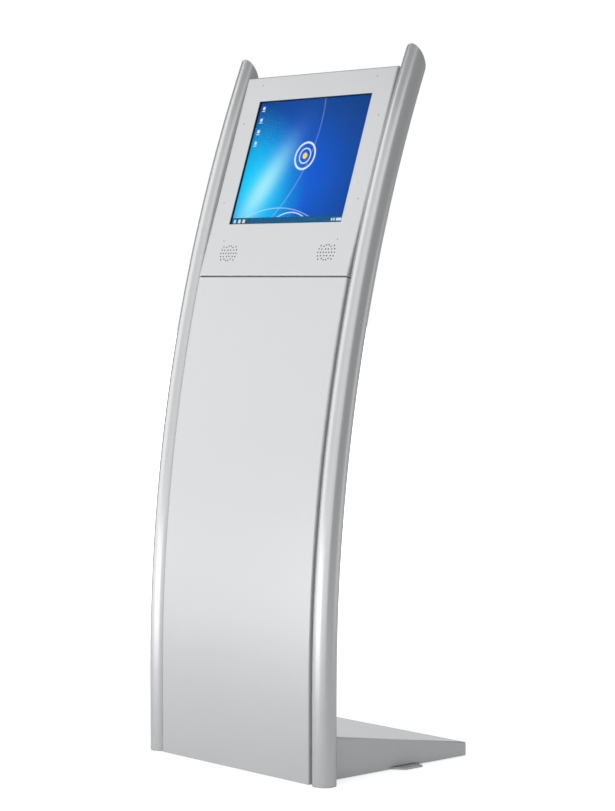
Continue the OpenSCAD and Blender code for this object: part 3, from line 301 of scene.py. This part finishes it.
DEEP_BLUE, MID_BLUE = (0.0, 0.042, 0.20), (0.0, 0.10, 0.64)
PALE_BLUE, GLOW_WHITE = (0.0, 0.62, 1.0), (0.42, 0.90, 1.0)
RIBBON, MARK_WHITE, MARK_DOT = (0.75, 0.95, 1.0), (0.95, 1.0, 1.0), (1.0, 0.72, 0.12)
BAR_BLUE, ICON_LABEL, CLOCK = (0.008, 0.10, 0.24), (0.7, 0.8, 0.95), (0.75, 0.82, 0.88)
SCREEN_BORDER = (0.001, 0.001, 0.001)


def backdrop(m):
    """A blue gradient with a soft slanting glow on its left."""
    light = m.span(m.glow(-0.25, -0.35, 1.15, 1.15), 0.05, 0.8)
    pale = m.span(m.glow(-0.72, -0.45, 0.62, 0.95, turn=0.25), 0.1, 0.95)
    white = m.span(m.glow(-0.58, -0.42, 0.17, 0.62, turn=-0.42), 0.0, 1.0, 0.0, 0.85)
    return m.mix(white, m.mix(pale, m.mix(light, DEEP_BLUE, MID_BLUE), PALE_BLUE), GLOW_WHITE)


def ribbons(m, colour):
    """Thin arcs of large circles, each shown between two places across the screen."""
    left_fade, right_fade = 0.25, 0.05
    for u, v, radius, width, strength, left_end, right_end in (
        (0.05, -1.42, 0.48, 0.012, 0.9, -0.35, 0.52),
        (-0.20, -2.62, 1.50, 0.010, 0.45, -0.95, 0.55),
        (-1.55, 0.62, 1.75, 0.008, 0.35, -1.0, 0.35),
    ):
        fade_in = m.span(m.u, left_end, left_end + left_fade)
        fade_out = m.span(m.u, right_end, right_end - right_fade)
        ends = m.math("MULTIPLY", fade_in, fade_out)
        shown = m.math("MULTIPLY", m.ring(u, v, radius, width, strength), ends)
        colour = m.mix(shown, colour, RIBBON)
    return colour


def centre_mark(m, colour):
    """A plain target: two rings around a dot."""
    u, v = 0.05, 0.08
    dot_r, dot_soft = 0.04, 0.005
    for radius, width, strength in ((0.17, 0.022, 0.95), (0.095, 0.016, 0.8)):
        colour = m.mix(m.ring(u, v, radius, width, strength), colour, MARK_WHITE)
    dot = m.span(m.distance(u, v), dot_r - dot_soft, dot_r + dot_soft, 1.0, 0.0)
    return m.mix(dot, colour, MARK_DOT)


def icons(m, colour):
    """Four plain tiles down the left edge, each with a thin bar under it for its label."""
    u, top, step, label_drop = -0.925, 0.90, 0.19, 0.048
    icon_size, label_size = (0.019, 0.024), (0.028, 0.006)
    for i, tint in enumerate(((0.85, 0.9, 1.0), (0.75, 0.85, 0.95), (0.9, 0.92, 0.85), (0.65, 0.8, 1.0))):
        v = top - step * i
        colour = m.mix(m.tile(u, v, *icon_size, soft=0.01), colour, tint)
        colour = m.mix(m.tile(u, v - label_drop, *label_size, soft=0.004), colour, ICON_LABEL)
    return colour


def task_bar(m, colour):
    """A dark bar along the bottom, with three buttons on its left and a clock on its right."""
    v, bar_size, button_size, clock_half_v = -0.945, (1.2, 0.055), (0.022, 0.028), 0.02
    colour = m.mix(m.tile(0.0, v, *bar_size, soft=0.004), colour, BAR_BLUE)
    for u, tint in ((-0.945, (0.35, 0.75, 0.9)), (-0.86, (0.55, 0.85, 0.95)), (-0.78, (0.95, 0.75, 0.4))):
        colour = m.mix(m.tile(u, v, *button_size, soft=0.006), colour, tint)
    for u, half_u in ((0.80, 0.012), (0.84, 0.012), (0.92, 0.045)):
        colour = m.mix(m.tile(u, v, half_u, clock_half_v, soft=0.006), colour, CLOCK)
    return colour


def screen_picture(name):
    """The lit picture, black outside the lit area."""
    m = Picture(name)
    colour = task_bar(m, icons(m, centre_mark(m, ribbons(m, backdrop(m)))))
    lit = m.tile(0, 0, 0.9975, 0.997, soft=0.002)
    m.set(
        Base_Color=(0.004, 0.004, 0.005, 1),
        Roughness=0.35,
        Specular_IOR_Level=0.02,
        Emission_Color=m.mix(lit, SCREEN_BORDER, colour),
        Emission_Strength=1.0,
    )
    return m.mat


# ---- Materials on the CAD nodes ----
materials = {
    "silver_paint": paint("silver_paint_satin", SILVER),
    "zinc_steel": zinc("zinc_plate", (0.60, 0.62, 0.64), rough=0.36),
    # Painted shade: the stud heads get a colour far darker than steel, so that they show as small dark
    # specks.
    "stud_steel": zinc("stud_steel_painted_dark", (0.20, 0.195, 0.19), rough=0.42),
    "black_plastic": plastic("black_abs", (0.018, 0.018, 0.019)),
    "rocker_plastic": plastic(
        "rocker_gloss", (0.012, 0.012, 0.013), rough=0.3, grain=2600, depth=0.00002
    ),
    "socket_metal": zinc("socket_shell", (0.62, 0.62, 0.60), rough=0.28),
    "button_metal": zinc("button_steel", (0.66, 0.66, 0.66), rough=0.22),
    "contact_brass": zinc("contact_brass_warm", (0.78, 0.58, 0.28), rough=0.25),
    "black_rubber": plastic(
        "gasket_rubber", (0.014, 0.014, 0.014), rough=0.75, grain=1400, depth=0.00008
    ),
    "display_frame": plastic("display_frame_black", (0.012, 0.012, 0.013), rough=0.45),
    "display_can": zinc("tin_can", (0.64, 0.65, 0.66), rough=0.3),
    "circuit_board": plastic("board_green", (0.012, 0.085, 0.04), rough=0.35, grain=900, depth=0.00004),
    "speaker_plastic": plastic("speaker_shell", (0.02, 0.02, 0.021), rough=0.55),
    "speaker_cloth": plastic(
        "speaker_cloth_black", (0.01, 0.01, 0.01), rough=0.9, grain=2200, depth=0.0002
    ),
    "black_aluminium": plastic(
        "anodised_black", (0.03, 0.031, 0.034), rough=0.38, grain=3200, depth=0.00002
    ),
    "lock_chrome": zinc("lock_nickel", (0.7, 0.7, 0.69), rough=0.14),
    "lead_jacket": plastic("lead_pvc", (0.016, 0.016, 0.016), rough=0.42, grain=1200, depth=0.00003),
    "data_jacket": plastic("data_pvc", (0.18, 0.2, 0.22), rough=0.45, grain=1200, depth=0.00003),
    "touch_glass": clear_glass("touch_glass_clear"),
    "display_surface": screen_picture("screen_picture"),
}


def dress(node, material):
    """Puts one material on all slots of a node."""
    for slot in node.material_slots:
        slot.material = material


for node in nodes.values():
    slot_name = node.material_slots[0].material.name.split(".")[0]
    dress(node, materials[slot_name])

# The bezel's paint, with painted shade on the walls of its speaker holes.
dress(nodes["head_bezel"], paint("silver_paint_bezel", SILVER, shade_grille_holes=True))
column_paint = paint("silver_paint_columns", COLUMN_SILVER, metallic=0.7, rough=0.255)
for name in ("left_column", "right_column", "column_end_caps"):
    dress(nodes[name], column_paint)


# ---- Rounded edges ----
EDGE_SEGMENTS = 2
EDGE_ANGLE = math.radians(50)  # edges sharper than this are rounded
WELD_REACH = 0.000002


def round_edges(piece, width):
    """Adds a bevel that rounds the piece's sharp edges, so that they catch the light."""
    bevel = piece.modifiers.new("soft_edges", "BEVEL")
    bevel.width = width
    bevel.segments = EDGE_SEGMENTS
    bevel.limit_method = "ANGLE"
    bevel.angle_limit = EDGE_ANGLE
    return bevel


def soften_nodes(width, *names):
    """Rounds the edges of these CAD nodes, after joining the corners that their triangles share."""
    for name in names:
        weld = nodes[name].modifiers.new("weld", "WELD")
        weld.merge_threshold = WELD_REACH
        bevel = round_edges(nodes[name], width)
        bevel.use_clamp_overlap = True
        bevel.harden_normals = True


soften_nodes(0.0012, "foot_cover")
soften_nodes(0.0004, "foot_floor_plate", "column_end_caps", "foot_gussets", "lock_cam")
soften_nodes(0.0003, "power_inlet", "switch_housing", "switch_rocker", "button_housing", "button_cap")
soften_nodes(0.0003, "lock_body", "lock_plug", "mini_computer", "power_supply", "fan_frames")
soften_nodes(0.0002, "bezel_nuts", "front_panel_nuts", "frame_bolts", "frame_nuts", "cover_screws")


# ---- Parts soldered to the driver board, seen through the open rear door ----
BOARD_X, BOARD_Z = -0.115, 0.010  # the board's centre from the screen's, across and up the face
BOARD_BACK = 0.0321  # depth of the board's back behind the head's face
SINK = 0.0001  # how far a block's foot goes into the board
PIN_PITCH, RESISTOR_PITCH, EDGE_PITCH = 0.00254, 0.0035, 0.0032
RESISTOR = (0.0018, 0.0009, 0.0007)  # width, height and thickness
PIN = (0.0006, 0.0006, 0.006)


def board_point(x, y, z):
    """A point from the board's centre, x to the right, y out of its back, z up."""
    return head_point(BOARD_X + x, BOARD_BACK + y, BOARD_Z + z)


def board_piece(name, verts, faces, material, edge):
    """Adds one piece to the board, with its edges rounded."""
    mesh = bpy.data.meshes.new(name)
    mesh.from_pydata(verts, [], faces)
    mesh.materials.append(material)
    piece = bpy.data.objects.new(name, mesh)
    bpy.context.scene.collection.objects.link(piece)
    round_edges(piece, edge)
    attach(piece, "root")


def board_blocks(name, blocks, material, edge):
    """Blocks given as (x, z, width, height, thickness), all standing on the board."""
    corners = ((-1, -1), (1, -1), (1, 1), (-1, 1))
    sides = ((0, 1, 2, 3), (7, 6, 5, 4), (0, 4, 5, 1), (1, 5, 6, 2), (2, 6, 7, 3), (3, 7, 4, 0))
    verts, faces = [], []
    for x, z, width, height, thick in blocks:
        first = len(verts)
        for y in (-SINK, thick):
            verts += [board_point(x + dx * width / 2, y, z + dz * height / 2) for dx, dz in corners]
        faces += [[first + i for i in side] for side in sides]
    board_piece(name, verts, faces, material, edge)


def row(count, x, z, pitch, size):
    """Blocks of one size in a row to the right, the first at x and z."""
    return [(x + pitch * i, z, *size) for i in range(count)]


def board_cans(name, cans, material, edge):
    """Round capacitors given as (x, z, radius, height), each with a crimped waist near its foot."""
    around = 28
    # Each level of the outline as a part of the can's height, and its radius there as a part of the can's
    outline = ((0, 1), (0.12, 1), (0.17, 0.9), (0.22, 1), (0.96, 1), (1, 0.86))
    turns = [2 * math.pi * i / around for i in range(around)]
    verts, faces = [], []
    for x, z, radius, height in cans:
        first = len(verts)
        last = first + (len(outline) - 1) * around
        for level, part in outline:
            r = radius * part
            verts += [board_point(x + r * math.cos(t), height * level, z + r * math.sin(t)) for t in turns]
        for start in range(first, last, around):
            for i in range(around):
                a, b = start + i, start + (i + 1) % around
                faces.append((b, a, a + around, b + around))
        faces.append(list(range(first, first + around)))
        faces.append(list(range(last + around - 1, last - 1, -1)))
    board_piece(name, verts, faces, material, edge)


board_cans(
    "board_capacitors",
    [
        (-0.034, 0.016, 0.004, 0.0085),
        (-0.034, 0.004, 0.004, 0.0085),
        (0.035, 0.018, 0.0032, 0.007),
        (0.035, 0.009, 0.0032, 0.007),
        (0.035, 0.0, 0.0032, 0.007),
        (-0.022, -0.022, 0.0045, 0.0095),
    ],
    materials["display_can"], edge=0.0001,
)
board_blocks(
    "board_chips",
    [
        (0.004, -0.012, 0.014, 0.010, 0.0016),
        (-0.012, 0.003, 0.009, 0.007, 0.0014),
        (0.018, -0.026, 0.010, 0.010, 0.003),
        (0.022, 0.004, 0.006, 0.005, 0.0014),
    ],
    materials["black_plastic"], edge=0.00015,
)
board_blocks(
    "board_small_parts",
    row(7, -0.006, -0.0235, RESISTOR_PITCH, RESISTOR)
    + row(7, -0.006, -0.0235 - RESISTOR_PITCH, RESISTOR_PITCH, RESISTOR)
    + row(18, -0.028, 0.047, EDGE_PITCH, RESISTOR),
    plastic("ceramic_buff", (0.32, 0.25, 0.17), rough=0.4), edge=0.0001,
)
board_blocks(
    "board_pin_headers",
    row(8, -0.018, -0.0335, PIN_PITCH, PIN) + row(6, 0.012, -0.0335, PIN_PITCH, PIN),
    materials["contact_brass"], edge=0.0001,
)

# ---- Lights ----
BODY_CENTRE, FOOT = (0, 0, 0.75), (0, 0, 0.1)
BOX_BOTTOM = 0.02  # height of the standing softboxes' lower edge


def area_light(name, azimuth, elevation, distance, width, height, power, aim=BODY_CENTRE):
    """A softbox turned to its aim. Azimuth 0 is on the kiosk's front side, -Y, and 90 on its right, +X."""
    data = bpy.data.lights.new(name, "AREA")
    data.shape = "RECTANGLE"
    data.size, data.size_y = width, height
    data.energy = power
    lamp = bpy.data.objects.new(name, data)
    bpy.context.scene.collection.objects.link(lamp)
    a, e = math.radians(azimuth), math.radians(elevation)
    back = Vector((math.sin(a) * math.cos(e), -math.cos(a) * math.cos(e), math.sin(e)))
    lamp.location = Vector(aim) + back * distance
    lamp.rotation_mode = "QUATERNION"
    lamp.rotation_quaternion = (-back).to_track_quat("-Z", "Y")
    lamp.visible_camera = False


def standing_box(name, azimuth, distance, width, height, power):
    """A softbox that stands upright, turned to the kiosk."""
    area_light(name, azimuth, 0, distance, width, height, power, aim=(0, 0, BOX_BOTTOM + height / 2))


# The columns mirror the three tall boxes as light bands, and the gap behind the right one as a dark band.
standing_box("left_box", azimuth=-49, distance=2.3, width=1.95, height=2.9, power=19.0)
standing_box("front_box", azimuth=-2, distance=2.3, width=2.0, height=3.0, power=11.8)
standing_box("front_low", azimuth=-10, distance=1.9, width=1.6, height=0.5, power=3.4)
standing_box("right_box", azimuth=37, distance=2.3, width=1.45, height=3.0, power=9.6)
standing_box("side_low", azimuth=136, distance=2.2, width=1.4, height=1.0, power=1.5)
area_light("left_high", azimuth=-48, elevation=42, distance=2.8, width=1.6, height=1.2, power=0.6)
area_light("right_high", azimuth=36, elevation=42, distance=2.8, width=1.2, height=1.2, power=0.6)
area_light("back_fill", azimuth=196, elevation=48, distance=3.4, width=4.0, height=2.6, power=30.0)
area_light(
    "far_corner", azimuth=-132, elevation=12, distance=3.0, width=1.6, height=1.2, power=5.0, aim=FOOT
)

# ---- World: white to the camera, and a dim dome to everything else ----
DOME_COLOUR, DOME_STRENGTH = (0.97, 0.985, 1.0, 1), 0.31

world = bpy.data.worlds.new("studio")
bpy.context.scene.world = world
world.use_nodes = True
tree = world.node_tree
tree.nodes.clear()
world_out = tree.nodes.new("ShaderNodeOutputWorld")
world_mix = tree.nodes.new("ShaderNodeMixShader")
dome = tree.nodes.new("ShaderNodeBackground")
dome.inputs["Color"].default_value = DOME_COLOUR
dome.inputs["Strength"].default_value = DOME_STRENGTH
white = tree.nodes.new("ShaderNodeBackground")
white.inputs["Color"].default_value = (1, 1, 1, 1)
light_path = tree.nodes.new("ShaderNodeLightPath")
tree.links.new(light_path.outputs["Is Camera Ray"], world_mix.inputs[0])
tree.links.new(dome.outputs[0], world_mix.inputs[1])
tree.links.new(white.outputs[0], world_mix.inputs[2])
tree.links.new(world_mix.outputs[0], world_out.inputs["Surface"])

# ---- Floor: pale, and brighter with distance until it meets the white world ----
FLOOR_REACH = 30.0
FLOOR_DROP = 0.0006  # keeps the floor clear of the flat undersides that stand on it
NEAR_R, FAR_R = 0.9, 3.2  # where the brightening starts and ends
NEAR_GREY, FAR_GREY = (0.30, 0.30, 0.30), (0.97, 0.97, 0.97)
FLOOR_DARK, FLOOR_PALE = (0.90, 0.90, 0.90), (0.93, 0.93, 0.93)
UNSEEN_GLOW, SEEN_GLOW = 0.2, 2.0  # the floor lights the kiosk less than it shows to the camera

ground = Nodes("floor_pale")
far = ground.span(ground.vector("LENGTH", ground.coords), NEAR_R, FAR_R, smooth=True)
seen = ground.tree.nodes.new("ShaderNodeLightPath").outputs["Is Camera Ray"]
ground.set(
    Base_Color=ground.mix(ground.noise(scale=1.5), FLOOR_DARK, FLOOR_PALE),
    Roughness=0.9,
    Emission_Color=ground.mix(far, NEAR_GREY, FAR_GREY),
    Emission_Strength=ground.span(seen, 0, 1, UNSEEN_GLOW, SEEN_GLOW),
)
r = FLOOR_REACH
floor_mesh = bpy.data.meshes.new("floor")
floor_mesh.from_pydata([(-r, -r, 0), (r, -r, 0), (r, r, 0), (-r, r, 0)], [], [(0, 1, 2, 3)])
floor_mesh.materials.append(ground.mat)
floor = bpy.data.objects.new("floor", floor_mesh)
bpy.context.scene.collection.objects.link(floor)
floor.location.z = -FLOOR_DROP

# ---- Camera ----
CAMERA_PLACE = (3.7087, -3.3974, 0.9917)
CAMERA_TURN = math.radians(47.64)  # from facing the kiosk's front, round to its right side
CAMERA_PITCH = math.radians(-3.06)
LENS_MM, SENSOR_MM = 108.67, 36
CLIP_NEAR, CLIP_FAR = 0.1, 200

camera_data = bpy.data.cameras.new("camera")
camera_data.lens = LENS_MM
camera_data.sensor_width = SENSOR_MM
camera_data.clip_start, camera_data.clip_end = CLIP_NEAR, CLIP_FAR
camera = bpy.data.objects.new("camera", camera_data)
bpy.context.scene.collection.objects.link(camera)
forward = Vector((
    -math.sin(CAMERA_TURN) * math.cos(CAMERA_PITCH),
    math.cos(CAMERA_TURN) * math.cos(CAMERA_PITCH),
    math.sin(CAMERA_PITCH),
))
camera.location = CAMERA_PLACE
camera.rotation_mode = "QUATERNION"
camera.rotation_quaternion = forward.to_track_quat("-Z", "Y")
bpy.context.scene.camera = camera
bpy.context.scene.view_settings.view_transform = "Standard"
bpy.context.scene.view_settings.look = "None"
